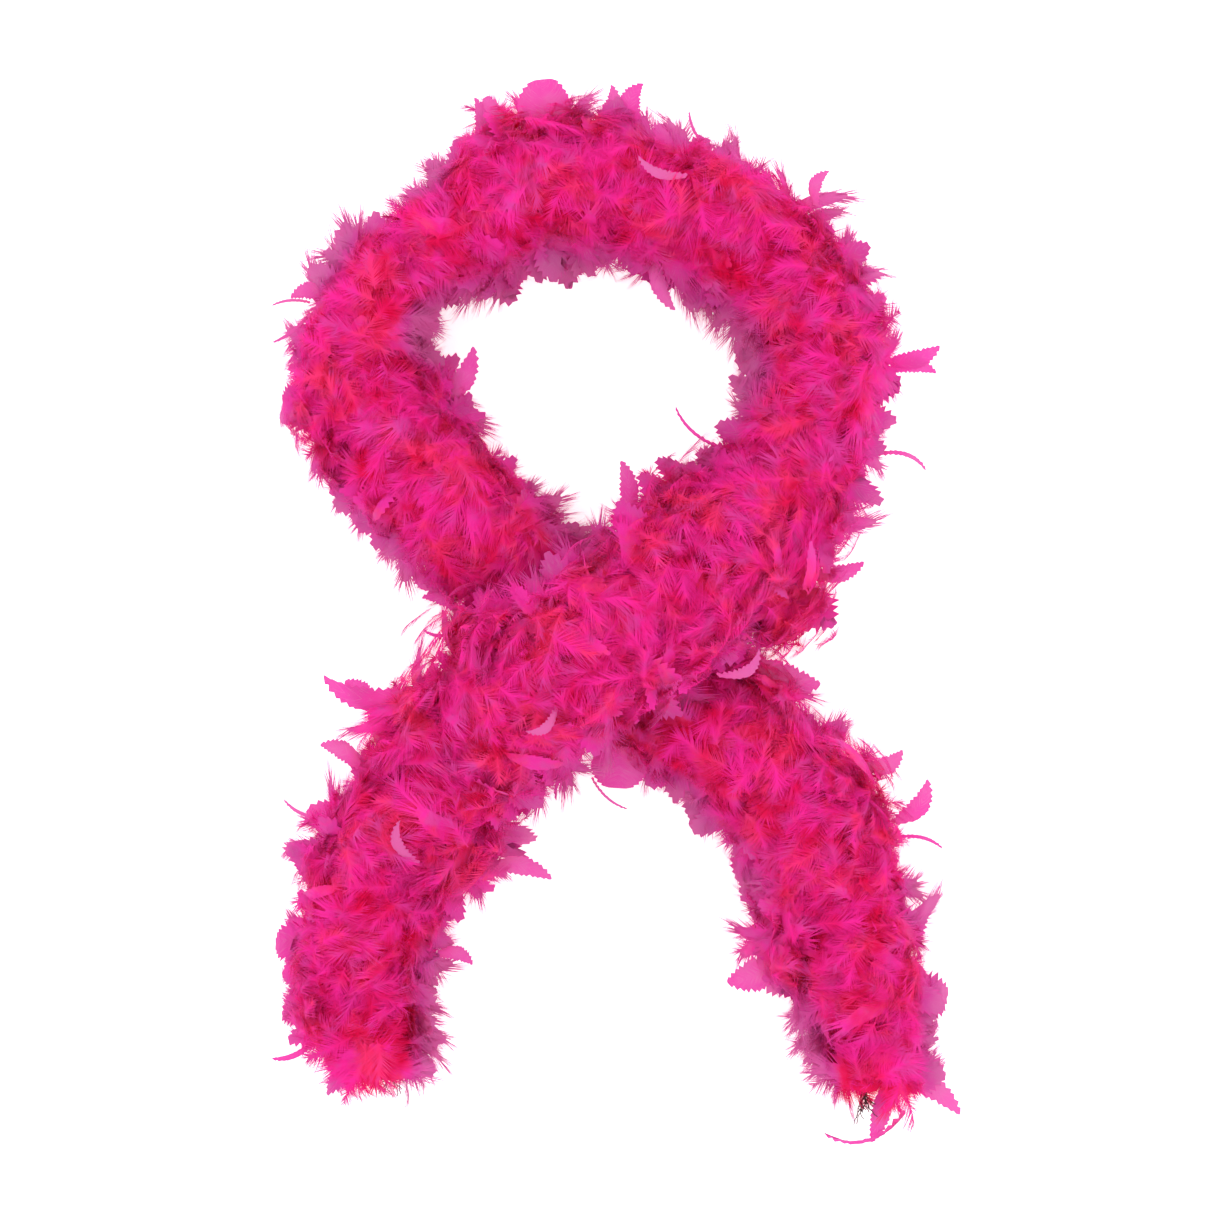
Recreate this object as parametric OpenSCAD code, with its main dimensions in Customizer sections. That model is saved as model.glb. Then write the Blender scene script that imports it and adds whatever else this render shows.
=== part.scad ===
// Feather boa laid out on a flat surface: a neck loop at the top, its two strands
// crossed below it, and two tails that splay towards the bottom.
// +X right, +Y towards the top of the loop, +Z up. The origin is on the surface, in the
// middle of the outline. One core cord runs from the left end to the right end.

/* [Feathers] */
// Reach of a long flat feather from the core, sideways
side_reach = 62; // [46:1:64]
// Reach of a long flat feather from the core, upwards
top_reach = 52; // [46:1:56]
// Share of the long reach that a short downy plume has
plume_share = 0.56; // [0.5:0.01:0.6]
// Spacing of the feather roots along the core
root_pitch = 3.7; // [3.7:0.1:6]
// Turn about the core from one feather root to the next, degrees
root_turn = 137.5; // [137.3:0.1:137.7]
// Widest part of a long flat feather
flat_width = 20; // [8:1:20]
// Widest part of a short downy plume
plume_width = 9; // [6:1:10]
// Thickness of a vane
vane_thick = 0.9; // [0.6:0.1:1]
// Thickness of a bare quill
quill_thick = 1.1; // [0.8:0.1:1.2]
// Sideways curl of a feather's tip, as a share of its reach
tip_curl = 0.12; // [0:0.01:0.15]

/* [Core] */
// Height of the core cord above the surface where the boa lies on its feathers
core_height = 46; // [44:1:46]
// Radius of the twisted core cord
cord_radius = 1.6; // [1.2:0.1:1.7]
// Radius over the thread that binds the quills to the core
binding_radius = 2.5; // [2.2:0.1:2.6]
// Radius of the knot at each end
knot_radius = 4.5; // [4:0.1:6]
// Length of the frayed threads beyond a knot
fray_length = 26; // [15:1:30]

/* [Bends] */
// Bare core on each side of a bend in the plane of the surface
swing_gap = 15; // [15:1:18]
// Bare core on each side of a bend that lifts a tail
lift_gap = 21; // [21:1:23]
// Bare core on each side of the bend that lifts the neck
neck_gap = 23; // [23:1:25]
// Lean of a feather beside a bend, away from it, degrees
bend_lean = 20; // [15:1:25]
// Lean of the last feathers over a free end, degrees
end_lean = 55; // [40:1:60]

/* [Hidden] */
// The core's route, from the left end round the loop to the right end. The strand from
// upper right to lower left is raised over the other one near the middle.
ROUTE = [
    [-167, -314, 46], [-181, -276, 46], [-182, -238, 46], [-174, -200, 46],
    [-158, -165, 46], [-138, -131, 46], [-113, -98, 46], [-76, -67, 72],
    [-32, -33, 98], [25, 9, 98], [71, 45, 74], [106, 79, 50],
    [132, 119, 46], [144, 163, 46], [141, 208, 46], [123, 246, 46],
    [92, 279, 46], [49, 302, 46], [1, 313, 46], [-49, 312, 46],
    [-94, 295, 46], [-132, 272, 46], [-161, 242, 46], [-177, 208, 46],
    [-178, 170, 46], [-162, 130, 46], [-126, 89, 45], [-84, 53, 40],
    [-32, 10, 31], [20, -34, 31], [56, -68, 38], [89, -97, 46],
    [120, -125, 46], [144, -155, 46], [160, -190, 46], [170, -229, 46],
    [178, -265, 46], [182, -299, 46], [182, -333, 46]
];
RINGS_PER_SPAN = 2;
CORD_SIDES = 8;
// Distance to either side over which the core's direction is taken
LOOK = 5;
// Cord left out at each side of a bend
BEND_CUT = 0.7;
// Gap between parts that touch
SMALL = 0.05;
// Lean of the feathers where nothing pushes them
FREE_LEAN = 5;
// Bare core next to a knot
KNOT_CLEAR = 6;

// Every stretch of the boa: name, first and last point of the route, bare core at each
// end, and the lean of the feathers there (towards the last point when positive).
STRETCHES = [
    ["left_tail_lower", 0, 2, 0, swing_gap, -end_lean, -bend_lean],
    ["left_tail_middle", 2, 4, swing_gap, lift_gap, bend_lean, -bend_lean],
    ["left_tail_upper", 4, 6, lift_gap, swing_gap, bend_lean, -bend_lean],
    ["crossing_over", 6, 11, swing_gap, 0, bend_lean, FREE_LEAN],
    ["loop_right", 11, 14, 0, neck_gap, FREE_LEAN, -bend_lean],
    ["neck_right", 14, 16, neck_gap, 0, bend_lean, FREE_LEAN],
    ["neck_top_right", 16, 18, 0, 0, FREE_LEAN, FREE_LEAN],
    ["neck_top_left", 18, 21, 0, 0, FREE_LEAN, FREE_LEAN],
    ["neck_left", 21, 23, 0, neck_gap, FREE_LEAN, -bend_lean],
    ["loop_left", 23, 26, neck_gap, 0, bend_lean, FREE_LEAN],
    ["crossing_under", 26, 31, 0, swing_gap, FREE_LEAN, -bend_lean],
    ["right_tail_upper", 31, 33, swing_gap, lift_gap, bend_lean, -bend_lean],
    ["right_tail_middle", 33, 35, lift_gap, swing_gap, bend_lean, -bend_lean],
    ["right_tail_lower", 35, 38, swing_gap, 0, bend_lean, end_lean]
];
PARTS = ["cord", "binding", "flats", "plumes"];
ENDS = ["left", "right"];

// Smooth line through the route, as rings of the core and their distance along it
function between(a, b, c, d, t) =
    0.5 * (2 * b + (c - a) * t + (2 * a - 5 * b + 4 * c - d) * t * t
        + (3 * b - a - 3 * c + d) * t * t * t);
function near(i) = ROUTE[min(max(i, 0), len(ROUTE) - 1)];
LINE = concat(
    [for (i = [0 : len(ROUTE) - 2]) for (k = [0 : RINGS_PER_SPAN - 1])
        between(near(i - 1), near(i), near(i + 1), near(i + 2), k / RINGS_PER_SPAN)],
    [near(len(ROUTE) - 1)]
);
RUN = [for (i = 0, d = 0; i < len(LINE);
    i = i + 1, d = d + (i < len(LINE) ? norm(LINE[i] - LINE[i - 1]) : 0)) d];
AXES = [for (c = [0 : 2]) [for (i = [0 : len(LINE) - 1]) [RUN[i], LINE[i][c]]]];
LENGTH = RUN[len(RUN) - 1];

function place(d) = [for (c = [0 : 2]) lookup(d, AXES[c])];
function unit(v) = v / norm(v);
function along(d) = unit(place(min(d + LOOK, LENGTH)) - place(max(d - LOOK, 0)));
function side(d) = unit(cross([0, 0, 1], along(d)));
function upward(d) = cross(along(d), side(d));
function start_of(s) = RUN[s[1] * RINGS_PER_SPAN];
function end_of(s) = RUN[s[2] * RINGS_PER_SPAN];

// Room below and above the core, which the crossing takes from the two strands there
OVER_FLOOR = 1.2;
UNDER_PRESS = 4 / 3;
function support(z) = max(0, (z - core_height) * OVER_FLOOR);
function room_above(z) = top_reach - max(0, core_height - z) * UNDER_PRESS;
function reach(d, a) =
    let (z = place(d)[2], v = sin(a) > 0 ? room_above(z) : z - support(z))
    1 / sqrt(pow(cos(a) / side_reach, 2) + pow(sin(a) / v, 2));

// One stretch of a round sleeve around the core
function ring(d, r) = [for (k = [0 : CORD_SIDES - 1])
    let (a = 360 * k / CORD_SIDES) place(d) + r * (side(d) * cos(a) + upward(d) * sin(a))];
function stops(a, b) = concat([a], [for (d = RUN) if (d > a + 1 && d < b - 1) d], [b]);
function quad(a, b, c, d) = [[a, b, c], [a, c, d]];

module cord_piece(a, b, r) {
    d = stops(a, b);
    n = CORD_SIDES;
    last = (len(d) - 1) * n;
    polyhedron(
        points = [for (x = d) each ring(x, r)],
        faces = concat(
            [for (i = [0 : len(d) - 2]) for (k = [0 : n - 1])
                each quad(i * n + k, (i + 1) * n + k,
                    (i + 1) * n + (k + 1) % n, i * n + (k + 1) % n)],
            [for (k = [1 : n - 2]) [0, k, k + 1]],
            [for (k = [1 : n - 2]) [last, last + k + 1, last + k]]
        ),
        convexity = 4
    );
}

module sleeve_piece(a, b, inner, outer) {
    d = stops(a, b);
    n = CORD_SIDES;
    m = 2 * n;
    last = (len(d) - 1) * m;
    polyhedron(
        points = [for (x = d) each concat(ring(x, outer), ring(x, inner))],
        faces = concat(
            [for (i = [0 : len(d) - 2]) for (k = [0 : n - 1])
                each quad(i * m + k, (i + 1) * m + k,
                    (i + 1) * m + (k + 1) % n, i * m + (k + 1) % n)],
            [for (i = [0 : len(d) - 2]) for (k = [0 : n - 1])
                each quad(i * m + n + (k + 1) % n, (i + 1) * m + n + (k + 1) % n,
                    (i + 1) * m + n + k, i * m + n + k)],
            [for (k = [0 : n - 1]) each quad(k, (k + 1) % n, n + (k + 1) % n, n + k)],
            [for (k = [0 : n - 1])
                each quad(last + n + k, last + n + (k + 1) % n, last + (k + 1) % n, last + k)]
        ),
        convexity = 6
    );
}

// A feather's outline: share of its reach, then share of its half width (0 is the quill)
FLAT_SHAPE = [[0.36, 0], [0.62, 1], [0.85, 0.8], [1, 0.15]];
PLUME_SHAPE = [[0.3, 0], [0.7, 1], [1, 0.4]];
ROOT_GAP = 0.35;

module feather(d, a, long, shape, half, lean) {
    u = along(d);
    out = side(d) * cos(a) + upward(d) * sin(a);
    axis = out * cos(lean) + u * sin(lean);
    wide = u * cos(lean) - out * sin(lean);
    flat = cross(axis, wide);
    root = (binding_radius + ROOT_GAP) / cos(lean);
    curl = sin(a) < 0 && cos(a) > 0 ? -tip_curl : tip_curl;
    rows = concat([[root, 0]], [for (s = shape) [s[0] * long, s[1] * half]]);
    centres = [for (r = rows) place(d) + axis * r[0]
        + flat * curl * (r[0] * r[0] - root * root) / long];
    corners = [[-1, -1], [1, -1], [1, 1], [-1, 1]];
    last = 4 * (len(rows) - 1);
    polyhedron(
        points = [for (i = [0 : len(rows) - 1]) for (c = corners)
            centres[i] + wide * c[0] * max(rows[i][1], quill_thick / 2)
                + flat * c[1] * (rows[i][1] > 0 ? vane_thick : quill_thick) / 2],
        faces = concat(
            [for (i = [0 : len(rows) - 2]) for (k = [0 : 3])
                each quad(4 * i + k, 4 * i + 4 + k,
                    4 * i + 4 + (k + 1) % 4, 4 * i + (k + 1) % 4)],
            quad(0, 1, 2, 3),
            quad(last, last + 3, last + 2, last + 1)
        )
    );
}

// A feather under the boa, whose vane is pressed flat on the surface
LAID_WITHIN = 22.5;
LAID_LENGTH = 26;
LAID_STEPS = [-0.3, 0.05, 0.35];
function laid_side(x) = flat_width / 2 * (1 - 2 * x * x);
module laid_feather(d, a) {
    u = along(d);
    out = side(d) * cos(a) + upward(d) * sin(a);
    foot_run = (place(d)[2] - vane_thick / 2) / abs(out[2]);
    foot = place(d) + out * foot_run;
    n = len(LAID_STEPS);
    feather(d, a, foot_run, [[1, 0]], 0, 0);
    translate([foot[0], foot[1], 0])
        rotate([0, 0, atan2(u[1], u[0])])
            linear_extrude(height = vane_thick)
                polygon(concat(
                    [[-LAID_LENGTH / 2, 0]],
                    [for (x = LAID_STEPS) [x * LAID_LENGTH, -laid_side(x)]],
                    [[LAID_LENGTH / 2, 0]],
                    [for (k = [n - 1 : -1 : 0])
                        [LAID_STEPS[k] * LAID_LENGTH, laid_side(LAID_STEPS[k])]]
                ));
}

function at_knot(s, k) = k == 3 ? s[1] == 0 : s[2] == len(ROUTE) - 1;
function bare_at(s, k) = max(s[k], at_knot(s, k) ? KNOT_CLEAR : 1);
function roots(s, odd) =
    [for (i = [ceil((start_of(s) + bare_at(s, 3)) / root_pitch)
            : floor((end_of(s) - bare_at(s, 4)) / root_pitch)])
        if (i % 2 == odd) i];
function lean_at(s, d) =
    let (t = (d - start_of(s)) / (end_of(s) - start_of(s))) s[5] + (s[6] - s[5]) * t;
function below(a) = let (b = (a % 360) - 270) abs(b) < LAID_WITHIN;

module flats(s) color("deeppink")
    for (i = roots(s, 0)) {
        d = i * root_pitch;
        a = i * root_turn;
        if (below(a) && support(place(d)[2]) < 1)
            laid_feather(d, a);
        else
            feather(d, a, reach(d, a), FLAT_SHAPE, flat_width / 2, lean_at(s, d));
    }

module plumes(s) color("crimson")
    for (i = roots(s, 1)) {
        d = i * root_pitch;
        a = i * root_turn;
        feather(d, a, reach(d, a) * plume_share, PLUME_SHAPE, plume_width / 2, lean_at(s, d));
    }

function bare(s, k) = s[k] > 0 ? BEND_CUT : 0;
module cord(s) color("mediumvioletred")
    cord_piece(start_of(s) + bare(s, 3), end_of(s) - bare(s, 4), cord_radius);
module binding(s) color("purple")
    sleeve_piece(start_of(s) + bare(s, 3) + 1, end_of(s) - bare(s, 4) - 1,
        cord_radius + SMALL, binding_radius);

// Puts +X along the core at one end, pointing out of the boa
module at_end(e) {
    d = e == "left" ? 0 : LENGTH;
    v = e == "left" ? -along(0) : along(LENGTH);
    translate(place(d)) rotate([0, 0, atan2(v[1], v[0])]) children();
}

// Two turns of the core cord drawn tight, with the cord's end butted against them
module end_knot(e) color("mediumvioletred") at_end(e) translate([SMALL, 0, 0])
    rotate([0, 90, 0])
        rotate_extrude($fn = 32)
            union() {
                square([knot_radius / 2, knot_radius * 2]);
                for (k = [0.5, 1.5])
                    translate([knot_radius / 2, k * knot_radius])
                        intersection() {
                            circle(r = knot_radius / 2, $fn = 24);
                            translate([-knot_radius / 2, -knot_radius / 2])
                                square(knot_radius);
                        }
            }

// The ends of the cord's plies, opened out beyond the knot
FRAY_THICK = 0.5;
FRAY_SPREAD = [-24, -13, -3, 8, 19];
FRAY_DROOP = 9;
module frayed_threads(e) color("maroon") at_end(e)
    translate([2 * knot_radius + 2 * SMALL, 0, 0])
        for (k = [0 : len(FRAY_SPREAD) - 1])
            translate([0, (k - 2) * FRAY_THICK * 2.4, 0])
                rotate([0, FRAY_DROOP * (1 + k % 3), FRAY_SPREAD[k]])
                    rotate([0, 90, 0])
                        translate([0, 0, FRAY_THICK])
                            cylinder(r = FRAY_THICK, h = fray_length * (1 - 0.08 * k), $fn = 16);

for (s = STRETCHES) {
    cord(s);
    binding(s);
    flats(s);
    plumes(s);
}
for (e = ENDS) {
    end_knot(e);
    frayed_threads(e);
}
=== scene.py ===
"""A hot-pink feather boa, laid in a neck loop with its tails crossed."""

import math
from functools import partial

import bpy
import numpy as np
from bpy.props import FloatProperty, FloatVectorProperty, IntProperty, PointerProperty
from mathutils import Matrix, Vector


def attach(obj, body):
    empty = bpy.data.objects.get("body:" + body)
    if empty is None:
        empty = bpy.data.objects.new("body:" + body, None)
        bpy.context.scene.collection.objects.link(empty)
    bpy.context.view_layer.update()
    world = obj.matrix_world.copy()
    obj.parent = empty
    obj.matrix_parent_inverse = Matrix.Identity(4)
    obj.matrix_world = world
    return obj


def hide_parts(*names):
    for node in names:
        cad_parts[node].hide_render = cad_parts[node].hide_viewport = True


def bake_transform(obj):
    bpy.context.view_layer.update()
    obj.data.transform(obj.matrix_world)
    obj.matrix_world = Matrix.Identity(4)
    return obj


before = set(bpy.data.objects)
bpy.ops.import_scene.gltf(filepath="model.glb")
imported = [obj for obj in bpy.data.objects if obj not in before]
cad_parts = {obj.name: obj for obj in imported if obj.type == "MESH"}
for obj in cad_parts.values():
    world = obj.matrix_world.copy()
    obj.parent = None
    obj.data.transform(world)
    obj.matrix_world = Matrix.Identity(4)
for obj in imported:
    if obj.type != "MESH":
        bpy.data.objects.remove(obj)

bl_info = {
    "name": "Feather Boa",
    "version": (1, 0, 0),
    "blender": (4, 5, 0),
    "location": "View3D > Sidebar > Boa",
    "description": "Builds a feather boa on a corded core that bends along its length",
    "category": "Add Mesh",
}

MM = 0.001

# ---------------------------------------------------------------- the core's line

# The core's route, from the left end round the loop to the right end, in millimetres.
ROUTE = np.array([
    (-167, -314, 46), (-181, -276, 46), (-182, -238, 46), (-174, -200, 46),
    (-158, -165, 46), (-138, -131, 46), (-113, -98, 46), (-76, -67, 72),
    (-32, -33, 98), (25, 9, 98), (71, 45, 74), (106, 79, 50),
    (132, 119, 46), (144, 163, 46), (141, 208, 46), (123, 246, 46),
    (92, 279, 46), (49, 302, 46), (1, 313, 46), (-49, 312, 46),
    (-94, 295, 46), (-132, 272, 46), (-161, 242, 46), (-177, 208, 46),
    (-178, 170, 46), (-162, 130, 46), (-126, 89, 45), (-84, 53, 40),
    (-32, 10, 31), (20, -34, 31), (56, -68, 38), (89, -97, 46),
    (120, -125, 46), (144, -155, 46), (160, -190, 46), (170, -229, 46),
    (178, -265, 46), (182, -299, 46), (182, -333, 46),
], float) * MM
STEPS = 24
CORE_HEIGHT = 46 * MM


def smooth_line(points, steps):
    """A smooth line through the points, with this many steps from each to the next."""
    last = len(points) - 1
    made = []
    for i in range(last):
        a, b, c, d = (points[min(max(k, 0), last)] for k in range(i - 1, i + 3))
        for k in range(steps):
            t = k / steps
            made.append(0.5 * (2 * b + (c - a) * t + (2 * a - 5 * b + 4 * c - d) * t**2
                               + (3 * b - a - 3 * c + d) * t**3))
    return np.array(made + [points[-1]])


LINE = smooth_line(ROUTE, STEPS)
RUN = np.concatenate([[0], np.cumsum(np.linalg.norm(np.diff(LINE, axis=0), axis=1))])
LENGTH = RUN[-1]
# Each end of the core: its side, its place along the core, and which way leads off it
ENDS = (("left", 0.0, -1), ("right", LENGTH, 1))


def at(d):
    return np.stack([np.interp(d, RUN, LINE[:, k]) for k in range(3)], -1)


def unit(v):
    return v / np.maximum(np.linalg.norm(v, axis=-1, keepdims=True), 1e-12)


def along(d):
    return unit(at(np.minimum(np.add(d, 0.004), LENGTH)) - at(np.maximum(np.subtract(d, 0.004), 0)))


def side(d):
    return unit(np.cross((0, 0, 1), along(d)))


def upward(d):
    return np.cross(along(d), side(d))


def knot_run(k):
    """Distance along the core to a place on the route, counted in its points."""
    return float(np.interp(k * STEPS, np.arange(len(RUN)), RUN))


# ---------------------------------------------------------------- sections
# Each section of the boa: name, first and last point of the route, the bodies listed for it (two at a
# bend, where the piece is put on neither), and the point of the route where it bends.
SECTIONS = [
    ("left_end", 0, 1, ["left_tail_lower"], None),
    ("left_tip_bend", 1, 3, ["left_tail_lower", "left_tail_middle"], 2),
    ("left_lift_bend", 3, 5, ["left_tail_middle", "left_tail_upper"], 4),
    ("left_swing_bend", 5, 7, ["left_tail_upper", "neck_loop"], 6),
    ("crossing_over", 7, 9.4, ["neck_loop"], None),
    ("loop_right", 9.4, 12.6, ["neck_loop"], None),
    ("neck_bend_right", 12.6, 15.3, ["neck_loop", "neck_back"], 14),
    ("neck_right", 15.3, 17.4, ["neck_back"], None),
    ("neck_top", 17.4, 19.6, ["neck_back"], None),
    ("neck_left", 19.6, 21.7, ["neck_back"], None),
    ("neck_bend_left", 21.7, 24.4, ["neck_back", "neck_loop"], 23),
    ("loop_left", 24.4, 27.4, ["neck_loop"], None),
    ("crossing_under", 27.4, 30, ["neck_loop"], None),
    ("right_swing_bend", 30, 32, ["neck_loop", "right_tail_upper"], 31),
    ("right_lift_bend", 32, 34, ["right_tail_upper", "right_tail_middle"], 33),
    ("right_tip_bend", 34, 36, ["right_tail_middle", "right_tail_lower"], 35),
    ("right_end", 36, 38, ["right_tail_lower"], None),
]
# The model's own stretches, which the sections stand for
STRETCHES = [
    ("left_tail_lower", 0, 2), ("left_tail_middle", 2, 4), ("left_tail_upper", 4, 6),
    ("crossing_over", 6, 11), ("loop_right", 11, 14), ("neck_right", 14, 16),
    ("neck_top_right", 16, 18), ("neck_top_left", 18, 21), ("neck_left", 21, 23),
    ("loop_left", 23, 26), ("crossing_under", 26, 31), ("right_tail_upper", 31, 33),
    ("right_tail_middle", 33, 35), ("right_tail_lower", 35, 38),
]
# How full the boa is along its length: place on the route, then the reach of its feathers to
# the left and to the right of the core as seen on the way from the left end, as a share.
FULLNESS = np.array([
    (0, 0.46, 0.24), (0.8, 0.78, 0.47), (1.8, 0.80, 0.58), (2.8, 0.76, 0.87), (3.8, 1.13, 0.86),
    (4.4, 0.76, 1.22), (5.0, 0.81, 1.16), (5.8, 1.34, 0.92), (6.6, 1.06, 0.85), (7.4, 1.56, 0.80),
    (8.4, 0.95, 1.05), (9.4, 1.06, 1.10), (10.1, 1.44, 1.66), (10.8, 0.80, 1.35), (11.5, 0.70, 0.90),
    (12.4, 0.62, 0.64), (13.4, 0.38, 0.93), (14.2, 0.42, 0.92), (15.2, 0.50, 0.79),
    (16.3, 0.72, 0.69), (17.4, 0.70, 0.66), (18.4, 0.62, 0.86), (19.3, 0.55, 1.24),
    (20.4, 0.64, 0.36), (21.4, 0.34, 0.44), (22.3, 0.20, 0.47), (23.2, 0.32, 0.72),
    (24.2, 0.97, 0.95), (25.3, 0.86, 0.69), (26.3, 0.82, 0.62), (27.5, 0.44, 0.97),
    (28.5, 0.88, 1.35), (29.5, 0.98, 0.98), (30.6, 1.36, 0.43), (31.6, 0.77, 0.59),
    (32.5, 1.28, 0.78), (33.5, 1.02, 0.50), (34.4, 0.58, 1.13), (35.2, 0.71, 1.12),
    (36.2, 0.67, 0.39), (37.2, 0.49, 0.33), (38, 0.62, 0.20),
])


def stood_for(first, last, part):
    return [f"{name}_{part}" for name, a, b in STRETCHES if a < last and b > first]


def carry(obj, section):
    """Puts a piece on its section's body; a piece at a bend is not bent but has its place baked into
    its mesh.
    """
    bodies, bend = section[3:]
    if bend is None:
        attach(obj, bodies[0])
    elif "neck_back" in bodies:
        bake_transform(obj)
    else:
        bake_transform(obj)


def section_at(point):
    """The section whose core is nearest to a point."""
    k = np.argmin(np.linalg.norm(LINE - point, axis=1)) / STEPS
    return next(s for s in SECTIONS if s[1] <= k <= s[2])


def place_at_end(obj, end, part):
    """Puts a piece at the end of one tail, where it stands for the model's part."""
    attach(obj, end + "_tail_lower")
    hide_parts(f"{end}_{part}")


def place(obj, section, part):
    """Carries a piece with its section, and has it stand for the model's parts there."""
    carry(obj, section)
    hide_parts(*stood_for(section[1], section[2], part))


# ---------------------------------------------------------------- settings


class BoaSizes(bpy.types.PropertyGroup):
    side_reach: FloatProperty(
        name="Side reach", description="How far the feathers reach from the core, sideways",
        default=0.062, unit="LENGTH")
    top_reach: FloatProperty(
        name="Top reach", description="How far the feathers reach from the core, upwards",
        default=0.049, unit="LENGTH")
    down_per_metre: IntProperty(
        name="Down tufts per metre", description="Tufts of down for each metre of core",
        default=5000)
    plumes_per_metre: IntProperty(
        name="Plumes per metre", description="Loose-barbed plumes for each metre of core",
        default=8000)
    flats_per_metre: IntProperty(
        name="Flats per metre", description="Webbed flat feathers lying on each metre of boa",
        default=1500)
    fringe_per_metre: IntProperty(
        name="Fringe per metre", description="Webbed flats that stand out past each metre",
        default=900)
    cord_radius: FloatProperty(
        name="Cord radius", description="Radius of the twisted core cord",
        default=0.0016, unit="LENGTH")
    thread_radius: FloatProperty(
        name="Thread radius", description="Radius of the binding thread",
        default=0.0003, unit="LENGTH")
    seed: IntProperty(name="Seed", description="Seed of every random choice", default=11)


class BoaColours(bpy.types.PropertyGroup):
    # Painted shade: the deep crimson of down in the strand's depths, where shade falls
    painted_shade_hollow: FloatVectorProperty(
        name="Hollow", description="Down deep in the strand", subtype="COLOR", size=4,
        default=(0.87, 0.003, 0.11, 1))
    pink: FloatVectorProperty(
        name="Pink", description="Main dye of the feathers", subtype="COLOR", size=4,
        default=(0.94, 0.030, 0.42, 1))
    coral: FloatVectorProperty(
        name="Coral", description="Feathers that took the dye warmer", subtype="COLOR", size=4,
        default=(0.96, 0.050, 0.23, 1))
    # Mauve: partly the thin tips' own colour, partly painted light on the outer layers and along the
    # rims
    mauve: FloatVectorProperty(
        name="Mauve", description="Thin feather tips at the rim", subtype="COLOR", size=4,
        default=(0.76, 0.066, 0.40, 1))
    # Painted sheen: the whitish gloss on the thinnest tips and in streaks along the barbs
    painted_sheen_pale: FloatVectorProperty(
        name="Pale", description="Glossy barbs on the thinnest tips", subtype="COLOR", size=4,
        default=(0.72, 0.22, 0.47, 1))
    cord: FloatVectorProperty(
        name="Cord", description="Dyed core cord", subtype="COLOR", size=4,
        default=(0.40, 0.01, 0.12, 1))
    thread: FloatVectorProperty(
        name="Thread", description="Binding thread", subtype="COLOR", size=4,
        default=(0.30, 0.01, 0.09, 1))
    fray: FloatVectorProperty(
        name="Fray", description="Frayed ends of the cord", subtype="COLOR", size=4,
        default=(0.05, 0.002, 0.012, 1))


# ---------------------------------------------------------------- materials


# How close together patches of dye, mauve veils of painted light and crimson dips of painted shade
# come, for each metre
PATCHES, MAUVE_AND_LIGHT_VEILS, SHADE_DIPS = 30.0, 55.0, 42.0
# Share of the light that passes through a vane and through down
THROUGH_VANE, THROUGH_DOWN = 0.33, 0.42


def link_into(tree, given, socket):
    """Gives a socket its value, or links another node's socket to it."""
    if isinstance(given, bpy.types.NodeSocket):
        tree.links.new(given, socket)
    else:
        socket.default_value = given


def link_nodes(tree, kind, inputs=(), **settings):
    """A node with its settings, and each input given as a value or as another node's socket."""
    made = tree.nodes.new(kind)
    for name, setting in settings.items():
        setattr(made, name, setting)
    for key, given in dict(inputs).items():
        link_into(tree, given, made.inputs[key])
    return made


def attribute(tree, name):
    return link_nodes(tree, "ShaderNodeAttribute", attribute_name=name).outputs["Fac"]


def value(tree, operation, a, b=0.0, c=0.0):
    return link_nodes(tree, "ShaderNodeMath", {0: a, 1: b, 2: c}, operation=operation).outputs[0]


def noise(tree, spot, scale, detail, roughness=0.5, output="Fac"):
    return link_nodes(tree, "ShaderNodeTexNoise", {
        "Vector": spot, "Scale": scale, "Detail": detail, "Roughness": roughness}).outputs[output]


def about_half(tree, x, strength, plus):
    """Adds to plus a share of how far x is from 0.5."""
    return value(tree, "MULTIPLY_ADD", value(tree, "SUBTRACT", x, 0.5), strength, plus)


def ramp(tree, x, low, high, bottom=0.0, top=1.0):
    return link_nodes(tree, "ShaderNodeMapRange", {
        "Value": x, "From Min": low, "From Max": high, "To Min": bottom, "To Max": top,
    }, interpolation_type="SMOOTHSTEP").outputs["Result"]


def vector(tree, operation, a, b=(0, 0, 0), scale=1.0):
    made = link_nodes(tree, "ShaderNodeVectorMath", {0: a, 1: b}, operation=operation)
    if operation == "SCALE":
        link_into(tree, scale, made.inputs["Scale"])
    return made.outputs["Value" if operation == "DOT_PRODUCT" else "Vector"]


def mixed(tree, share, a, b):
    return link_nodes(tree, "ShaderNodeMix", {
        "Factor": share, 6: a, 7: b}, data_type="RGBA").outputs[2]


def new_material(name):
    made = bpy.data.materials.new(name)
    made.use_nodes = True
    return made, made.node_tree, made.node_tree.nodes["Principled BSDF"]


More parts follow.
